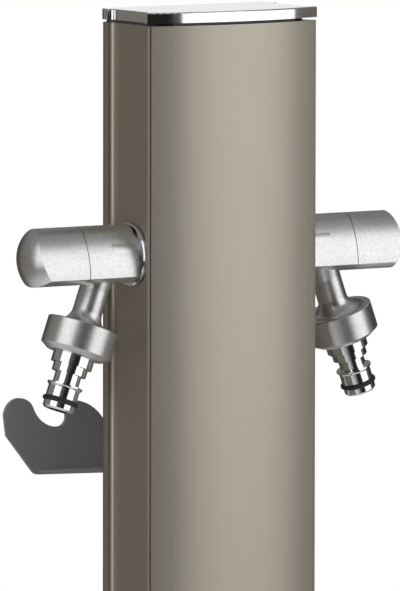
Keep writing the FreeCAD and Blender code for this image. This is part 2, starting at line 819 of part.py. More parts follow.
def base_plate():
    """Plate with anchor holes, the supply hole and recesses for the foot screws."""
    body = new_body("base_plate")
    half_x = size("base_length") / 2
    half_y = size("base_depth") / 2
    corner = size("base_corner")
    sketch = new_sketch(body, "XY_Plane")
    outline(
        sketch,
        [
            (half_x - corner, -half_y, corner),
            (half_x, corner - half_y),
            (half_x, half_y - corner, corner),
            (half_x - corner, half_y),
            (corner - half_x, half_y, corner),
            (-half_x, half_y - corner),
            (-half_x, corner - half_y, corner),
            (corner - half_x, -half_y),
        ],
    )
    extrude(body, sketch, BASE_TOP)
    anchors = four_places(size("anchor_spacing_x") / 2, size("anchor_spacing_y") / 2)
    pocket_circles(body, BASE_TOP, BASE_TOP, anchors, size("anchor_hole"))
    pocket_circles(body, BASE_TOP, BASE_TOP, [(0, 0)], size("supply_hole"))
    screws = size("inlet_screw_radius") + size("thread_play")
    pocket_circles(body, BASE_TOP, BASE_TOP, inlet_screw_places(), screws)
    ports = PORT_PLACES + [(-x, y) for x, y in PORT_PLACES]
    pocket_circles(body, BASE_TOP, BASE_TOP, ports, size("port_screw_radius") + size("screw_slack"))
    recess = size("port_screw_head") + size("head_room")
    pocket_circles(body, size("foot_recess"), size("foot_recess"), ports, recess)
    return body


def base_screws():
    """Screws from below into the ports of the column."""
    profile = pan_screw(
        size("port_screw_head"),
        size("port_screw_head_height"),
        size("port_screw_radius"),
        size("foot_screw_length"),
    )
    return placed_copies("base_screws", profile, port_points(size("foot_recess")), DOWN)


def inlet_fitting():
    """Flanged brass inlet: female thread below, pipe socket above."""
    height = size("inlet_height")
    socket = size("pipe_radius") + size("pipe_play")
    bore = size("pipe_bore")
    step = height - size("socket_depth")
    body = turned_part(
        "inlet_fitting",
        [
            (size("inlet_thread"), 0),
            (size("inlet_flange"), 0),
            (size("inlet_flange"), size("inlet_flange_thickness")),
            (size("inlet_body"), size("inlet_flange_thickness")),
            (size("inlet_body"), height),
            (socket, height),
            (socket, step),
            (bore, step),
            (bore, size("inlet_thread_depth")),
            (size("inlet_thread"), size("inlet_thread_depth")),
        ],
        at_height(BASE_TOP),
    )
    flange = size("inlet_flange_thickness")
    radius = size("inlet_screw_radius") + size("screw_slack")
    pocket_circles(body, flange, flange, inlet_screw_places(), radius)
    return body


def inlet_screws():
    profile = pan_screw(
        size("inlet_screw_head"),
        size("inlet_screw_head_height"),
        size("inlet_screw_radius"),
        size("inlet_screw_length"),
    )
    height = BASE_TOP + size("inlet_flange_thickness")
    places = [(x, y, height) for x, y in inlet_screw_places()]
    return placed_copies("inlet_screws", profile, places)


# Riser and manifold

INLET_TOP = BASE_TOP + size("inlet_height")


def riser_pipe():
    start = INLET_TOP - size("socket_depth")
    end = BRANCH_END + size("socket_depth")
    length = end - start
    corners = tube(Size(0, "0"), length, size("pipe_bore"), size("pipe_radius"))
    return turned_part("riser_pipe", corners, at_height(start))


def pipe_nuts():
    """Hexagon nuts that close the two pipe joints."""
    body = document.addObject("PartDesign::Body", "pipe_nut_pattern")
    sketch = new_sketch(body, "XY_Plane")
    hexagon(sketch, size("pipe_nut_flats"))
    circle(sketch, 0, 0, size("pipe_radius") + size("pipe_play"))
    extrude(body, sketch, size("pipe_nut_height"))
    places = [(0, 0, INLET_TOP), (0, 0, BRANCH_END - size("pipe_nut_height"))]
    return group_copies("pipe_nuts", body, places)


def pipe_clips():
    """Blocks on the back wall that the riser snaps into."""
    body = document.addObject("PartDesign::Body", "pipe_clip_pattern")
    half = size("clip_width") / 2
    grip = size("pipe_radius") + size("pipe_play")
    lip = size("clip_lip")
    open_x = root(grip * grip - lip * lip)
    sketch = new_sketch(body, "XY_Plane")
    outline(
        sketch,
        [
            (half, -lip),
            (half, BACK_IN),
            (-half, BACK_IN),
            (-half, -lip),
            (-open_x, -lip, -grip),
            (0, grip, -grip),
            (open_x, -lip),
        ],
    )
    extrude(body, sketch, size("clip_height"), both=True)
    back = new_sketch(body, "XZ_Plane", -BACK_IN)
    circle(back, 0, 0, size("clip_screw_radius") + size("thread_play"))
    extrude(body, back, size("clip_screw_length"), "Pocket", back=True)
    return group_copies("pipe_clips", body, [(0, 0, height) for height in CLIP_HEIGHTS])


def clip_screws():
    profile = pan_screw(
        size("clip_screw_head"),
        size("clip_screw_head_height"),
        size("clip_screw_radius"),
        size("clip_screw_length"),
    )
    places = [(0, BACK, height) for height in CLIP_HEIGHTS]
    return placed_copies("clip_screws", profile, places, BACKWARD)


def manifold():
    """Brass tee: a socket towards each tap and a branch down to the riser."""
    body = new_body("manifold", at_height(TAP_Z))
    reach = size("manifold_reach")
    sketch = new_sketch(body, "XZ_Plane")
    outer = size("manifold_radius")
    outline(sketch, [(-reach, 0), (-reach, outer), (reach, outer), (reach, 0)])
    revolve(body, sketch, "H_Axis")
    branch = new_sketch(body, "XZ_Plane")
    down = -size("manifold_branch_reach")
    width = size("manifold_branch")
    outline(branch, [(0, 0), (0, down), (width, down), (width, 0)])
    revolve(body, branch)
    socket = size("tail_radius") + size("thread_play")
    floor = size("tail_reach") - size("head_room")
    bore = size("manifold_bore")
    run = new_sketch(body, "XZ_Plane")
    outline(
        run,
        [
            (-reach, 0),
            (-reach, socket),
            (-floor, socket),
            (-floor, bore),
            (floor, bore),
            (floor, socket),
            (reach, socket),
            (reach, 0),
        ],
    )
    revolve(body, run, "H_Axis", "Groove")
    pipe = size("pipe_radius") + size("pipe_play")
    step = down + size("socket_depth")
    drop = new_sketch(body, "XZ_Plane")
    narrow = size("pipe_bore")
    outline(drop, [(0, 0), (narrow, 0), (narrow, step), (pipe, step), (pipe, down), (0, down)])
    revolve(body, drop, "V_Axis", "Groove")
    return body


# Taps, in the tap frame

SPOUT_TURN = (SPOUT_X, size("spout_tilt") - 180)


def arch_outline(shrink):
    """Arch across the tap axis: round crown, long flanks, sharp lower edges, curved belly."""
    half = size("arch_half_width") - shrink
    crown = size("arch_crown") - shrink
    drop = size("arch_drop") - shrink
    crown_z = size("arch_rise") - size("arch_crown")
    tall = crown_z + drop
    flank = (half * half + tall * tall - crown * crown) / ((half - crown) * 2)
    share = crown / (flank - crown)
    tangent_y = (flank - half) * share
    tangent_z = crown_z + tall * share
    belly = sagitta_radius(half, size("arch_belly"))
    return [
        (half, -drop, flank),
        (tangent_y, tangent_z, crown),
        (-tangent_y, tangent_z, flank),
        (-half, -drop, belly),
    ]


def neck_outline():
    """Spout neck in the spout frame: tapered, then flared to a short threaded end."""
    flare_w = size("neck_flare_radius") - size("neck_radius")
    flare_h = size("neck_flare_height")
    flare = (flare_w * flare_w + flare_h * flare_h) / (flare_w * 2)
    flare_end = size("neck_flare_start") + flare_h
    return [
        (0, size("neck_start")),
        (size("neck_root"), size("neck_start")),
        (size("neck_radius"), size("neck_waist")),
        (size("neck_radius"), size("neck_flare_start"), -flare),
        (size("neck_flare_radius"), flare_end),
        (size("spout_thread"), THREAD_START),
        (size("spout_thread"), SPOUT_END),
        (0, SPOUT_END),
    ]


THREAD_START = size("neck_flare_start") + size("neck_flare_height") + size("neck_lead")
SPOUT_END = THREAD_START + size("spout_thread_length")


def tap_body(side):
    """Casting: arched body, turned shoulder and tail towards the column, spout neck below."""
    body = new_body(f"{side}_tap_body", tap_placement(side))
    arch = new_sketch(body, "YZ_Plane", BODY_START)
    outline(arch, arch_outline(Size(0, "0")))
    extrude(body, arch, size("body_length"))
    tail = new_sketch(body, "XZ_Plane")
    inside = BODY_START + size("body_length") / 2
    outline(
        tail,
        [
            (size("tail_reach"), 0),
            (size("tail_reach"), size("tail_radius")),
            (ROSETTE_END, size("tail_radius")),
            (ROSETTE_END, size("shoulder_radius")),
            (inside, size("shoulder_radius")),
            (inside, 0),
        ],
    )
    revolve(body, tail, "H_Axis")
    neck = new_sketch(body, "XZ_Plane", turn=SPOUT_TURN)
    outline(neck, neck_outline())
    revolve(body, neck)
    water = new_sketch(body, "XZ_Plane")
    thread = size("cartridge_thread") + size("thread_play")
    outline(
        water,
        [
            (size("tail_reach"), 0),
            (size("tail_reach"), size("tail_bore")),
            (SEAT_X, size("tail_bore")),
            (SEAT_X, thread),
            (BODY_END, thread),
            (BODY_END, 0),
        ],
    )
    revolve(body, water, "H_Axis", "Groove")
    spout = new_sketch(body, "XZ_Plane", turn=SPOUT_TURN)
    bore = size("spout_bore")
    outline(spout, [(0, size("neck_start")), (0, SPOUT_END), (bore, SPOUT_END), (bore, size("neck_start"))])
    revolve(body, spout, "V_Axis", "Groove")
    return body


def rosette(side):
    bore = size("tail_radius") + size("thread_play")
    rim = size("rosette_radius")
    edge = size("rosette_edge")
    corners = [
        (GASKET_END, bore),
        (GASKET_END, rim),
        (ROSETTE_END - edge, rim),
        (ROSETTE_END, rim - edge),
        (ROSETTE_END, bore),
    ]
    return turned_across(f"{side}_rosette", corners, tap_placement(side))


def rosette_gasket(side):
    bore = size("tail_radius") + size("thread_play")
    corners = tube_across(FLAT_X, GASKET_END, bore, size("gasket_radius"))
    return turned_across(f"{side}_rosette_gasket", corners, tap_placement(side))


def wall_washer(side):
    bore = size("tail_radius") + size("thread_play")
    start = WALL_IN - size("washer_thickness")
    corners = tube_across(start, WALL_IN, bore, size("washer_radius"))
    return turned_across(f"{side}_wall_washer", corners, tap_placement(side))


def lock_nut(side):
    body = new_body(f"{side}_lock_nut", tap_placement(side))
    start = WALL_IN - size("washer_thickness") - size("lock_nut_height")
    sketch = new_sketch(body, "YZ_Plane", start)
    hexagon(sketch, size("lock_nut_flats"))
    circle(sketch, 0, 0, size("tail_radius") + size("thread_play"))
    extrude(body, sketch, size("lock_nut_height"))
    return body


# Cartridge, from the seat outward

SEAL_END = SEAT_X + size("seal_thickness")
FIXED_END = SEAL_END + size("disc_thickness")
MOVING_START = FIXED_END + size("disc_gap")
MOVING_END = MOVING_START + size("disc_thickness")
DRIVER_END = MOVING_END + size("driver_thickness")
CHAMBER_END = DRIVER_END + size("spindle_play")
SPINDLE_SEAL_X = BODY_START + size("spindle_seal_place")
SPINDLE_END = HANDLE_START + size("spindle_engagement")
FLANGE_END = BODY_END + size("cartridge_flange_thickness")


def seat_seal(side):
    outer = size("cartridge_thread")
    corners = tube_across(SEAT_X, SEAL_END, size("seal_bore"), outer)
    return turned_across(f"{side}_seat_seal", corners, tap_placement(side))


def cartridge(side):
    """Brass sleeve: disc chamber with side windows, spindle bore, flange and hexagon."""
    body = new_body(f"{side}_cartridge", tap_placement(side))
    spindle = size("spindle_radius") + size("spindle_play")
    chamber = size("disc_chamber")
    thread = size("cartridge_thread")
    flange = size("cartridge_flange")
    sketch = new_sketch(body, "XZ_Plane")
    outline(
        sketch,
        [
            (SEAL_END, chamber),
            (CHAMBER_END, chamber),
            (CHAMBER_END, spindle),
            (FLANGE_END, spindle),
            (FLANGE_END, flange),
            (BODY_END, flange),
            (BODY_END, thread),
            (SEAL_END, thread),
        ],
    )
    revolve(body, sketch, "H_Axis")
    nut = new_sketch(body, "YZ_Plane", FLANGE_END)
    hexagon(nut, size("cartridge_flats"))
    circle(nut, 0, 0, spindle)
    extrude(body, nut, size("cartridge_hex_height"))
    windows = new_sketch(body, "XY_Plane")
    middle = (MOVING_START + CHAMBER_END) / 2
    circle(windows, middle, 0, size("window_radius"))
    extrude(body, windows, thread * 4, "Pocket", both=True)
    return body


def disc(label, start, holes_upright, side):
    """Ceramic disc with two holes, above and below the axis or beside it."""
    body = new_body(label, tap_placement(side))
    sketch = new_sketch(body, "YZ_Plane", start)
    circle(sketch, 0, 0, size("disc_radius"))
    offset = size("disc_hole_offset")
    for reach in (offset, -offset):
        place = (0, reach) if holes_upright else (reach, 0)
        circle(sketch, place[0], place[1], size("disc_hole"))
    extrude(body, sketch, size("disc_thickness"))
    return body


def spindle(side):
    """Driver flange behind the moving disc, and the shaft out to the handle."""
    shaft = size("spindle_radius")
    reach = size("spindle_seal_width") / 2 + size("spindle_seal_play")
    floor = shaft - size("spindle_seal_depth") - size("spindle_seal_play")
    corners = [
        (MOVING_END, 0),
        (MOVING_END, size("driver_radius")),
        (DRIVER_END, size("driver_radius")),
        (DRIVER_END, shaft),
        (SPINDLE_SEAL_X - reach, shaft),
        (SPINDLE_SEAL_X - reach, floor),
        (SPINDLE_SEAL_X + reach, floor),
        (SPINDLE_SEAL_X + reach, shaft),
        (SPINDLE_END, shaft),
        (SPINDLE_END, 0),
    ]
    return turned_across(f"{side}_spindle", corners, tap_placement(side))


def spindle_seal(side):
    """Square ring in the spindle's groove."""
    half = size("spindle_seal_width") / 2
    shaft = size("spindle_radius")
    inner = shaft - size("spindle_seal_depth")
    corners = tube_across(SPINDLE_SEAL_X - half, SPINDLE_SEAL_X + half, inner, shaft)
    return turned_across(f"{side}_spindle_seal", corners, tap_placement(side))


# Handle

def handle(side):
    """Domed barrel with the body's arch section, hollow round a boss for the spindle."""
    body = new_body(f"{side}_handle", tap_placement(side))
    arch = new_sketch(body, "YZ_Plane", HANDLE_START)
    outline(arch, arch_outline(Size(0, "0")))
    extrude(body, arch, size("handle_length"))
    dome = size("dome_radius")
    half = size("arch_half_width")
    drop = size("arch_drop")
    rim = root(half * half + drop * drop) + size("dome_margin")
    rim_x = HANDLE_TIP - dome + root(dome * dome - rim * rim)
    beyond = HANDLE_TIP + size("handle_wall")
    cut = new_sketch(body, "XZ_Plane")
    outline(cut, [(rim_x, rim, -dome), (HANDLE_TIP, 0), (beyond, 0), (beyond, rim)])
    revolve(body, cut, "H_Axis", "Groove")
    hollow = new_sketch(body, "YZ_Plane", HANDLE_START)
    outline(hollow, arch_outline(size("handle_wall")))
    circle(hollow, 0, 0, size("handle_boss"))
    extrude(body, hollow, size("handle_hollow"), "Pocket", back=True)
    room = new_sketch(body, "YZ_Plane", HANDLE_START)
    circle(room, 0, 0, size("nut_clearance"))
    extrude(body, room, size("nut_clearance_depth"), "Pocket", back=True)
    socket = new_sketch(body, "YZ_Plane", HANDLE_START)
    circle(socket, 0, 0, size("spindle_radius") + size("thread_play"))
    depth = size("spindle_engagement") + size("head_room")
    extrude(body, socket, depth, "Pocket", back=True)
    grub = new_sketch(body, "XY_Plane")
    circle(grub, HANDLE_START + size("grub_inset"), 0, size("grub_radius") + size("thread_play"))
    extrude(body, grub, size("arch_rise") * 2, "Pocket")
    return body


def handle_grub_screw(side):
    """Set screw from below onto the spindle."""
    body = new_body(f"{side}_handle_grub_screw", tap_placement(side))
    start = -size("spindle_radius")
    sketch = new_sketch(body, "XY_Plane", start)
    circle(sketch, HANDLE_START + size("grub_inset"), 0, size("grub_radius"))
    extrude(body, sketch, size("grub_length"), back=True)
    return body


# Spout pieces, in the spout frame

COLLAR_TOP = THREAD_START - size("collar_rise")
WASHER_END = SPOUT_END + size("union_washer_thickness")
FLOOR_TOP = WASHER_END + size("nipple_flange_thickness")
COLLAR_SIDE_END = COLLAR_TOP + size("collar_height")
COLLAR_END = COLLAR_SIDE_END + size("collar_bevel")
RING_END = FLOOR_TOP + size("nipple_ring_length")
STEP_END = RING_END + size("nipple_step_length")
NECK_END = STEP_END + size("nipple_neck_length")
SHOULDER_END = NECK_END + size("nipple_shoulder_length")
LAND_END = SHOULDER_END + size("nipple_land_length")
GROOVE_END = LAND_END + (size("o_ring_wire") + size("o_ring_play")) * 2
NOSE_END = GROOVE_END + size("nipple_nose_length")


def union_collar(side):
    """Wide ring nut with a recess round the neck and a bevelled underside."""
    thread = size("spout_thread") + size("thread_play")
    edge = size("collar_edge")
    outer = size("collar_radius")
    hole = size("nipple_ring") + size("nipple_play")
    corners = [
        (size("collar_rim_bore"), COLLAR_TOP),
        (outer - edge, COLLAR_TOP),
        (outer, COLLAR_TOP + edge),
        (outer, COLLAR_SIDE_END),
        (size("collar_bevel_radius"), COLLAR_END),
        (hole, COLLAR_END),
        (hole, FLOOR_TOP),
        (thread, FLOOR_TOP),
        (thread, THREAD_START),
        (size("collar_rim_bore"), THREAD_START),
    ]
    return turned_part(f"{side}_union_collar", corners, spout_placement(side))


def union_washer(side):
    corners = tube(SPOUT_END, WASHER_END, size("spout_bore"), size("nipple_flange"))
    return turned_part(f"{side}_union_washer", corners, spout_placement(side))


def hose_nipple(side):
    """Flange inside the collar, ring, step, locking groove, shoulder, seal groove and nose."""
    nose = size("nipple_nose")
    bevel = size("nipple_bevel")
    corners = [
        (size("nipple_bore"), WASHER_END),
        (size("nipple_flange"), WASHER_END),
        (size("nipple_flange"), FLOOR_TOP),
        (size("nipple_ring"), FLOOR_TOP),
        (size("nipple_ring"), RING_END),
        (size("nipple_step"), RING_END),
        (size("nipple_step"), STEP_END),
        (size("nipple_neck"), STEP_END),
        (size("nipple_neck"), NECK_END),
        (size("nipple_shoulder"), NECK_END),
        (size("nipple_shoulder"), SHOULDER_END - bevel),
        (nose, SHOULDER_END),
        (nose, LAND_END),
        (size("o_ring_groove"), LAND_END),
        (size("o_ring_groove"), GROOVE_END),
        (nose, GROOVE_END),
        (nose, NOSE_END - bevel),
        (nose - bevel, NOSE_END),
        (size("nipple_bore"), NOSE_END),
    ]
    return turned_part(f"{side}_hose_nipple", corners, spout_placement(side))


def nipple_o_ring(side):
    body = new_body(f"{side}_nipple_o_ring", spout_placement(side))
    wire = size("o_ring_wire")
    play = size("o_ring_play")
    sketch = new_sketch(body, "XZ_Plane")
    circle(sketch, size("o_ring_groove") + play + wire, LAND_END + play + wire, wire)
    revolve(body, sketch)
    return body


# Hose holder

def holder_half_outline():
    """Right half of the holder's plate: slanted side, finger, notch, nose, hump and saddle."""
    floor = HOLDER_FLOOR
    hip_x = size("holder_half_width") - size("holder_hip_inset")
    slant_x = hip_x - size("holder_slant")
    slant_z = size("hip_rise")
    slant = root(slant_x * slant_x + slant_z * slant_z)
    cosine = slant_x / slant
    cut = size("holder_corner")
    corner = cut / root((Size(1, "1") - cosine) / (Size(1, "1") + cosine))
    finger = size("finger_radius")
    finger_x = size("holder_half_width") - finger
    finger_z = floor + size("finger_rise") - finger
    low_x = size("notch_axis")
    low_z = floor + size("notch_rise")
    run = finger_x - low_x
    rise = finger_z - low_z
    sweep = (run * run + rise * rise - finger * finger) / ((rise + finger) * 2)
    share = finger / (finger + sweep)
    tight = size("notch_radius")
    nose = size("nose_radius")
    tight_z = low_z + tight
    step = low_x - size("nose_axis")
    nose_z = tight_z + root((tight + nose) * (tight + nose) - step * step)
    part = tight / (tight + nose)
    hump = size("hump_radius")
    hump_z = nose_z + nose - hump
    saddle = size("saddle_half_width")
    across = size("nose_axis") - saddle
    saddle_z = hump_z + root(hump * hump - across * across)
    dip = saddle * hump / across
    saddle_floor = saddle_z - dip + root(dip * dip - saddle * saddle)
    return [
        (0, floor),
        (size("holder_slant") - cut, floor, corner),
        (size("holder_slant") + cut * cosine, floor + cut * slant_z / slant),
        (hip_x, floor + slant_z),
        (size("holder_half_width"), finger_z, finger),
        (
            finger_x + (low_x - finger_x) * share,
            finger_z + (low_z + sweep - finger_z) * share,
            -sweep,
        ),
        (low_x, low_z, -tight),
        (low_x - step * part, tight_z + (nose_z - tight_z) * part, nose),
        (size("nose_axis"), nose_z + nose, hump),
        (saddle, saddle_z, -dip),
        (0, saddle_floor),
    ]


def hose_holder():
    """Bent sheet: hooked plate, tapering shelf, and a tab on the column's back."""
    body = new_body("hose_holder")
    sheet = size("holder_thickness")
    floor = HOLDER_FLOOR
    plate = new_sketch(body, "XZ_Plane", -size("holder_reach"))
    outline(plate, holder_half_outline())
    half = extrude(body, plate, sheet)
    mirror_across(body, [half])
    shelf = new_sketch(body, "XY_Plane", floor)
    wide = size("holder_slant") - size("holder_corner")
    right = [
        (size("tongue_half_width"), BACK),
        (size("tongue_half_width"), size("shelf_taper_reach")),
        (size("shelf_taper_x"), size("shelf_taper_reach")),
        (wide, size("holder_reach") - sheet),
        (wide, size("holder_reach")),
    ]
    left = [(-x, y) for x, y in reversed(right)]
    outline(shelf, right + left)
    extrude(body, shelf, sheet)
    tab = new_sketch(body, "XZ_Plane", -BACK)
    tongue = size("tongue_half_width")
    rectangle(tab, -tongue, tongue, floor, floor + size("tab_height"))
    extrude(body, tab, sheet, back=True)
    holes = new_sketch(body, "XZ_Plane", -BACK)
    for x in (size("holder_screw_x"), -size("holder_screw_x")):
        circle(holes, x, HOLDER_SCREW_Z, size("holder_screw_radius") + size("screw_slack"))
    extrude(body, holes, sheet * 2, "Pocket", both=True)
    drains = [(size("shelf_hole_x"), size("shelf_hole_y")), (-size("shelf_hole_x"), size("shelf_hole_y"))]
    pocket_circles(body, floor + sheet, sheet, drains, size("shelf_hole"))
    return body


def holder_screws():
    profile = pan_screw(
        size("holder_screw_head"),
        size("holder_screw_head_height"),
        size("holder_screw_radius"),
        size("holder_screw_length"),
    )
    reach = BACK + size("holder_thickness")
    places = [(x, reach, HOLDER_SCREW_Z) for x in (size("holder_screw_x"), -size("holder_screw_x"))]
    return placed_copies("holder_screws", profile, places, BACKWARD)


def holder_rivet_nuts():
    """Blind rivet nuts in the back wall, swelled inside it."""
    bore = size("holder_screw_radius") + size("thread_play")
    body_radius = size("rivet_nut_radius")
    inside = -size("profile_wall")
    swell = inside - size("rivet_nut_swell_height")
    corners = [
        (bore, -size("rivet_nut_length")),
        (body_radius, -size("rivet_nut_length")),
        (body_radius, swell),
        (size("rivet_nut_swell"), swell),
        (size("rivet_nut_swell"), inside),
        (body_radius, inside),
        (body_radius, 0),
        (bore, 0),
    ]
    places = [(x, BACK, HOLDER_SCREW_Z) for x in (size("holder_screw_x"), -size("holder_screw_x"))]
    return placed_copies("holder_rivet_nuts", corners, places, BACKWARD)


def tap(side):
    """Every piece of one tap."""
    tap_body(side)
    rosette(side)
    rosette_gasket(side)
    wall_washer(side)
    lock_nut(side)
    seat_seal(side)
    cartridge(side)
    disc(f"{side}_fixed_disc", SEAL_END, True, side)
    disc(f"{side}_moving_disc", MOVING_START, False, side)
    spindle(side)
    spindle_seal(side)
    handle(side)
    handle_grub_screw(side)
    union_collar(side)
    union_washer(side)
    hose_nipple(side)
    nipple_o_ring(side)


def check_and_write():
    """Check every object and every shape, then write one file for each part."""
    document.recompute()
    for item in document.Objects:
        if "Invalid" in item.State or "Error" in item.State:
            raise RuntimeError(f"{item.Name} failed: {item.State}")
    for part in PARTS:
        shape = part.Shape
        if shape.isNull() or not shape.isValid():
            raise RuntimeError(f"{part.Label} has no valid shape")
    os.makedirs("parts", exist_ok=True)
    for part in PARTS:
        part.Shape.exportStep(f"parts/{part.Label}.step")
        print(part.Label, len(part.Shape.Solids), round(part.Shape.Volume, 1))


def main():
    base_plate()
    base_screws()
    column_profile()
    front_cover()
    cap_carrier()
    cap_screws()
    cap_plate()
    inlet_fitting()
    inlet_screws()
    riser_pipe()
    pipe_nuts()
    pipe_clips()
    clip_screws()
    manifold()
    for side in SIDES:
        tap(side)
    hose_holder()
    holder_screws()
    holder_rivet_nuts()
    check_and_write()


main()
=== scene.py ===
import json
import math

import bpy
from mathutils import Matrix, Vector


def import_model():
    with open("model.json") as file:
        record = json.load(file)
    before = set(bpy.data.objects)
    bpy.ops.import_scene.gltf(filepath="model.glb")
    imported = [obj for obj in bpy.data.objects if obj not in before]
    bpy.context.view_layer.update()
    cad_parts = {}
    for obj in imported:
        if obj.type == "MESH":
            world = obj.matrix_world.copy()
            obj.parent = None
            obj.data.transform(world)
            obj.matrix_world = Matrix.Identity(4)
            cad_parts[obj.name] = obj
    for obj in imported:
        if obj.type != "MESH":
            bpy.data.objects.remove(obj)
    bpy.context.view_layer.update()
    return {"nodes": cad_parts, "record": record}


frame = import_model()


# Materials

# The lips beside the front cover are all of the extrusion that lies in front of this.
LIP_FACE_Y = -0.01935
# Painted shade: this darker colour on the lips tones down their bright reflection along the
# front corners.
LIP_PAINTED_SHADE_COLOR = (0.19, 0.172, 0.142, 1)

EVEN = (1.0, 1.0, 1.0)
UPRIGHT = (1600.0, 1600.0, 9.0)


def new_material(name, metallic=0.0):
    """A node material and its shader."""
    material = bpy.data.materials.new(name)
    material.use_nodes = True
    shader = material.node_tree.nodes["Principled BSDF"]
    shader.inputs["Metallic"].default_value = metallic
    return material, shader


def add_node(material, kind, **inputs):
    """A node with the default values of some inputs, spaces written as underscores."""
    node = material.node_tree.nodes.new(kind)
    for key, value in inputs.items():
        node.inputs[key.replace("_", " ")].default_value = value
    return node


def link(material, source, output, target, socket):
    material.node_tree.links.new(source.outputs[output], target.inputs[socket])


def object_coordinates(material, scale):
    """Object coordinates, scaled per axis."""
    coordinates = add_node(material, "ShaderNodeTexCoord")
    mapping = add_node(material, "ShaderNodeMapping", Scale=scale)
    link(material, coordinates, "Object", mapping, "Vector")
    return mapping


def noise(material, mapping, scale, detail, roughness=0.55):
    node = add_node(
        material, "ShaderNodeTexNoise", Scale=scale, Detail=detail, Roughness=roughness
    )
    link(material, mapping, "Vector", node, "Vector")
    return node


def tint(material, shader, source, low, high, dark, light):
    """Colour a surface between two tones, between two values of a texture."""
    node = add_node(material, "ShaderNodeValToRGB")
    first, last = node.color_ramp.elements
    first.position = low
    first.color = (*dark, 1)
    last.position = high
    last.color = (*light, 1)
    link(material, source, 0, node, "Fac")
    link(material, node, "Color", shader, "Base Color")


def roughen(material, shader, source, low, high):
    """Vary the roughness of a surface with a texture."""
    node = add_node(material, "ShaderNodeMapRange", To_Min=low, To_Max=high)
    link(material, source, 0, node, "Value")
    link(material, node, "Result", shader, "Roughness")


def bump(material, shader, source, strength, distance):
    node = add_node(material, "ShaderNodeBump", Strength=strength, Distance=distance)
    link(material, source, 0, node, "Height")
    link(material, node, "Normal", shader, "Normal")


def darker(color, share):
    return tuple(share * value for value in color)


def anodised(name):
    """Champagne anodised aluminium: satin, with the fine upright grain of an extrusion."""
    material, shader = new_material(name, metallic=0.9)
    space = object_coordinates(material, UPRIGHT)
    grain = noise(material, space, scale=1.0, detail=6.0, roughness=0.6)
    dark = (0.44, 0.402, 0.335)
    light = (0.475, 0.438, 0.37)
    tint(material, shader, grain, low=0.25, high=0.75, dark=dark, light=light)
    roughen(material, shader, grain, low=0.34, high=0.4)
    bump(material, shader, grain, strength=0.05, distance=0.0002)
    return material


def anodised_with_painted_lip_shade():
    """The extrusion: the same anodising, with painted shade on the lips beside the front
    cover, whose colour is darkened to tone down their bright reflection.
    """
    material = anodised("champagne_anodised_extrusion")
    shader = material.node_tree.nodes["Principled BSDF"]
    anodising = shader.inputs["Base Color"].links[0].from_node
    coordinates = add_node(material, "ShaderNodeTexCoord")
    parts = add_node(material, "ShaderNodeSeparateXYZ")
    link(material, coordinates, "Object", parts, "Vector")
    # Painted shade: the lips in front of LIP_FACE_Y take the darker colour.
    lip_shade_mask = add_node(material, "ShaderNodeMath")
    lip_shade_mask.operation = "LESS_THAN"
    lip_shade_mask.inputs[1].default_value = LIP_FACE_Y
    link(material, parts, "Y", lip_shade_mask, 0)
    mix = add_node(material, "ShaderNodeMixRGB", Color2=LIP_PAINTED_SHADE_COLOR)
    link(material, lip_shade_mask, "Value", mix, "Fac")
    link(material, anodising, "Color", mix, "Color1")
    link(material, mix, "Color", shader, "Base Color")
    return material


def polished_chrome():
    """Bright chrome with faint handling haze."""
    material, shader = new_material("polished_chrome", metallic=1.0)
    shader.inputs["Base Color"].default_value = (0.86, 0.865, 0.875, 1)
    space = object_coordinates(material, EVEN)
    haze = noise(material, space, scale=60.0, detail=3.0)
    roughen(material, shader, haze, low=0.04, high=0.1)
    return material


def satin_chrome():
    """Pearl chrome: softly blurred, with a fine grainy bloom."""
    material, shader = new_material("satin_chrome", metallic=1.0)
    space = object_coordinates(material, EVEN)
    grain = noise(material, space, scale=850.0, detail=5.0, roughness=0.7)
    dark = (0.66, 0.66, 0.655)
    light = (0.84, 0.84, 0.835)
    tint(material, shader, grain, low=0.35, high=0.65, dark=dark, light=light)
    cloud = noise(material, space, scale=45.0, detail=3.0)
    roughen(material, shader, cloud, low=0.28, high=0.36)
    bump(material, shader, grain, strength=0.45, distance=0.0001)
    return material


def plain_metal(name, color, roughness):
    """Machined or drawn metal with light mottling."""
    material, shader = new_material(name, metallic=1.0)
    space = object_coordinates(material, EVEN)
    cloud = noise(material, space, scale=180.0, detail=4.0)
    tint(material, shader, cloud, low=0.3, high=0.7, dark=darker(color, 0.88), light=color)
    roughen(material, shader, cloud, low=roughness * 0.8, high=roughness * 1.2)
    return material


def coated(name, color, roughness, grain_scale, depth):
    """Powder coat, moulding, ceramic or rubber: matt, with a fine texture."""
    material, shader = new_material(name)
    space = object_coordinates(material, EVEN)
    grain = noise(material, space, scale=grain_scale, detail=4.0, roughness=0.6)
    tint(material, shader, grain, low=0.35, high=0.65, dark=darker(color, 0.85), light=color)
    roughen(material, shader, grain, low=roughness * 0.9, high=roughness * 1.1)
    bump(material, shader, grain, strength=0.2, distance=depth)
    return material


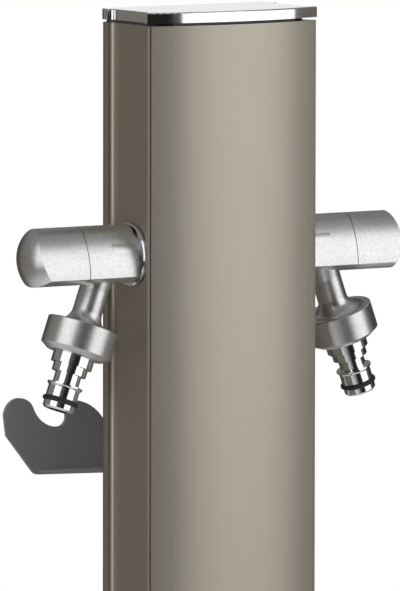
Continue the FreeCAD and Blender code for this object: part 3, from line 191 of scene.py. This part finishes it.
MATERIALS = {
    "column": anodised("champagne_anodised"),
    "polished_chrome": polished_chrome(),
    "satin_chrome": satin_chrome(),
    "holder": coated("grey_powder_coat", (0.2, 0.2, 0.2), 0.5, 1500.0, 0.0001),
    "base": plain_metal("plain_stainless", (0.5, 0.5, 0.49), 0.35),
    # Painted shade: the carrier's colour is made dark to stand in for the shade in the gap
    # under the cap.
    "carrier": coated("carrier_painted_gap_shade", (0.07, 0.068, 0.064), 0.6, 900.0, 0.0001),
    "clip": coated("black_moulding", (0.03, 0.03, 0.03), 0.5, 900.0, 0.0001),
    "pipe": plain_metal("drawn_stainless", (0.6, 0.6, 0.59), 0.28),
    "screws": plain_metal("stainless_screws", (0.58, 0.58, 0.57), 0.25),
    "brass": plain_metal("machined_brass", (0.7, 0.48, 0.2), 0.28),
    "ceramic": coated("lapped_ceramic", (0.85, 0.85, 0.82), 0.2, 400.0, 0.00002),
    "rubber": coated("black_rubber", (0.015, 0.015, 0.015), 0.45, 700.0, 0.00005),
}


NODE_MATERIALS = {"column_profile": anodised_with_painted_lip_shade()}


def dress_nodes():
    """Give every carried-over node its material."""
    for part in frame["record"]["subparts"]:
        node = frame["nodes"][part["node"]]
        material = NODE_MATERIALS.get(part["node"], MATERIALS[part["material_slot"]])
        if not node.data.materials:
            node.data.materials.append(material)
        for index in range(len(node.data.materials)):
            node.data.materials[index] = material


# Stage

FLOOR_RADIUS = 2.0
FLOOR_FADE_START = 0.7
FLOOR_FADE_END = 0.95 * FLOOR_RADIUS
FLOOR_COLOR = (0.86, 0.86, 0.86, 1)


def floor_material():
    """Pale floor that thins out towards its rim, so that it has no edge."""
    material, shader = new_material("pale_floor")
    shader.inputs["Base Color"].default_value = FLOOR_COLOR
    shader.inputs["Roughness"].default_value = 0.9
    shader.inputs["Specular IOR Level"].default_value = 0.0
    coordinates = add_node(material, "ShaderNodeTexCoord")
    distance = add_node(material, "ShaderNodeVectorMath")
    distance.operation = "LENGTH"
    link(material, coordinates, "Object", distance, 0)
    fade = add_node(
        material, "ShaderNodeMapRange", From_Min=FLOOR_FADE_START, From_Max=FLOOR_FADE_END
    )
    fade.interpolation_type = "SMOOTHSTEP"
    link(material, distance, "Value", fade, "Value")
    clear = add_node(material, "ShaderNodeBsdfTransparent")
    mix = add_node(material, "ShaderNodeMixShader")
    link(material, fade, "Result", mix, 0)
    link(material, shader, "BSDF", mix, 1)
    link(material, clear, "BSDF", mix, 2)
    output = material.node_tree.nodes["Material Output"]
    link(material, mix, "Shader", output, "Surface")
    return material


def floor():
    bpy.ops.mesh.primitive_circle_add(
        vertices=96, radius=FLOOR_RADIUS, fill_type="NGON", location=(0, 0, 0)
    )
    disc = bpy.context.active_object
    disc.name = "floor"
    disc.data.materials.append(floor_material())


def around(azimuth, reach, height):
    """A place round the object: azimuth 0 is straight in front, positive to the right."""
    turn = math.radians(azimuth)
    return (reach * math.sin(turn), -reach * math.cos(turn), height)


MIDDLE = (0, 0, 0.85)
CAP = (0, 0, 1.0)
COOL = (0.98, 1.0, 1.02)
NEUTRAL = (1.0, 1.0, 1.0)

# Soft boxes: name, place, target, width, height, radiance, colour, seen in the metal.
LAMPS = [
    ("key", around(33, 2.2, 1.25), MIDDLE, 2.24, 2.1, 1.17, COOL, True),
    ("left", around(-75, 2.2, 1.25), MIDDLE, 2.05, 2.1, 1.1, NEUTRAL, True),
    ("backdrop", around(147, 3.0, 1.3), CAP, 0.34, 0.34, 0.85, NEUTRAL, True),
    ("top", (0, -0.3, 3.2), MIDDLE, 2.4, 2.4, 1.6, NEUTRAL, False),
    ("fill", around(-45, 2.6, 1.3), MIDDLE, 1.6, 1.6, 3.0, NEUTRAL, False),
]


def lights():
    for name, place, target, width, height, radiance, color, in_metal in LAMPS:
        data = bpy.data.lights.new(name, "AREA")
        data.shape = "RECTANGLE"
        data.size = width
        data.size_y = height
        data.energy = radiance * math.pi * width * height
        data.color = color
        lamp = bpy.data.objects.new(name, data)
        bpy.context.collection.objects.link(lamp)
        lamp.location = place
        aim = Vector(target) - Vector(place)
        lamp.rotation_euler = aim.to_track_quat("-Z", "Y").to_euler()
        lamp.visible_camera = False
        lamp.visible_glossy = in_metal


# Brightness of the room at the height of the object, by azimuth in degrees.
ROOM = [
    (-180, 0.05),
    (-168, 0.05),
    (-158, 0.17),
    (-132, 0.18),
    (-100, 0.12),
    (-50, 0.03),
    (3, 0.012),
    (5, 0.08),
    (12, 0.12),
    (57, 0.14),
    (72, 0.12),
    (84, 0.03),
    (110, 0.04),
    (180, 0.05),
]
ROOM_TINT = (1.09, 1.0, 0.9)

# The walls pass into the ceiling between two heights of the view direction.
CEILING_COLOR = (0.22, 0.22, 0.22, 1)
CEILING_START = 0.2
CEILING_END = 0.5


def room_color(nodes, links):
    """The room's brightness in each direction: dark and pale walls, an even ceiling."""
    coordinates = nodes.new("ShaderNodeTexCoord")
    parts = nodes.new("ShaderNodeSeparateXYZ")
    links.new(coordinates.outputs["Generated"], parts.inputs[0])
    ahead = nodes.new("ShaderNodeMath")
    ahead.operation = "MULTIPLY"
    ahead.inputs[1].default_value = -1.0
    links.new(parts.outputs["Y"], ahead.inputs[0])
    azimuth = nodes.new("ShaderNodeMath")
    azimuth.operation = "ARCTAN2"
    links.new(parts.outputs["X"], azimuth.inputs[0])
    links.new(ahead.outputs[0], azimuth.inputs[1])
    turn = nodes.new("ShaderNodeMapRange")
    turn.inputs["From Min"].default_value = -math.pi
    turn.inputs["From Max"].default_value = math.pi
    links.new(azimuth.outputs[0], turn.inputs["Value"])
    walls = nodes.new("ShaderNodeValToRGB")
    stops = walls.color_ramp.elements
    for index, (degrees, level) in enumerate(ROOM):
        place = (degrees + 180) / 360
        stop = stops[index] if index < 2 else stops.new(place)
        stop.position = place
        stop.color = (*(level * share for share in ROOM_TINT), 1)
    links.new(turn.outputs["Result"], walls.inputs["Fac"])
    rise = nodes.new("ShaderNodeMapRange")
    rise.inputs["From Min"].default_value = CEILING_START
    rise.inputs["From Max"].default_value = CEILING_END
    links.new(parts.outputs["Z"], rise.inputs["Value"])
    room = nodes.new("ShaderNodeMixRGB")
    room.inputs["Color2"].default_value = CEILING_COLOR
    links.new(rise.outputs["Result"], room.inputs["Fac"])
    links.new(walls.outputs["Color"], room.inputs["Color1"])
    return room


def world():
    """White where the camera looks past the object, a grey room for the light."""
    scene_world = bpy.data.worlds.new("studio")
    bpy.context.scene.world = scene_world
    scene_world.use_nodes = True
    nodes = scene_world.node_tree.nodes
    links = scene_world.node_tree.links
    nodes.clear()
    output = nodes.new("ShaderNodeOutputWorld")
    room = nodes.new("ShaderNodeBackground")
    links.new(room_color(nodes, links).outputs["Color"], room.inputs["Color"])
    room.inputs["Strength"].default_value = 1.0
    white = nodes.new("ShaderNodeBackground")
    white.inputs["Color"].default_value = (1, 1, 1, 1)
    white.inputs["Strength"].default_value = 1.0
    path = nodes.new("ShaderNodeLightPath")
    choice = nodes.new("ShaderNodeMixShader")
    links.new(path.outputs["Is Camera Ray"], choice.inputs["Fac"])
    links.new(room.outputs[0], choice.inputs[1])
    links.new(white.outputs[0], choice.inputs[2])
    links.new(choice.outputs[0], output.inputs["Surface"])


# Camera

CAMERA_AZIMUTH = math.radians(-32.9)
CAMERA_PITCH = math.radians(5.3)
CAMERA_ROLL = math.radians(0.08)
CAMERA_DISTANCE = 5.0
SENSOR_WIDTH = 36.0
FRAME_HEIGHT = 591
PIXELS_PER_METRE = 1996.0
AIM_RIGHT = -0.0034
AIM_Y = 0.0036
AIM_UP = 0.8553


def camera():
    """The photo's view. The scale holds at the aim, on the taller side of the frame."""
    back = Vector(
        (
            math.sin(CAMERA_AZIMUTH) * math.cos(CAMERA_PITCH),
            -math.cos(CAMERA_AZIMUTH) * math.cos(CAMERA_PITCH),
            math.sin(CAMERA_PITCH),
        )
    )
    right = Vector((math.cos(CAMERA_AZIMUTH), math.sin(CAMERA_AZIMUTH), 0))
    up = back.cross(right)
    data = bpy.data.cameras.new("camera")
    data.sensor_width = SENSOR_WIDTH
    data.sensor_fit = "AUTO"
    data.lens = SENSOR_WIDTH * PIXELS_PER_METRE * CAMERA_DISTANCE / FRAME_HEIGHT
    eye = bpy.data.objects.new("camera", data)
    bpy.context.collection.objects.link(eye)
    place = right * AIM_RIGHT + Vector((0, AIM_Y, AIM_UP)) + back * CAMERA_DISTANCE
    basis = Matrix((right, up, back)).transposed().to_4x4()
    roll = Matrix.Rotation(CAMERA_ROLL, 4, "Z")
    eye.matrix_world = Matrix.Translation(place) @ basis @ roll
    bpy.context.scene.camera = eye


dress_nodes()
floor()
lights()
world()
camera()
bpy.context.scene.view_settings.view_transform = "Standard"
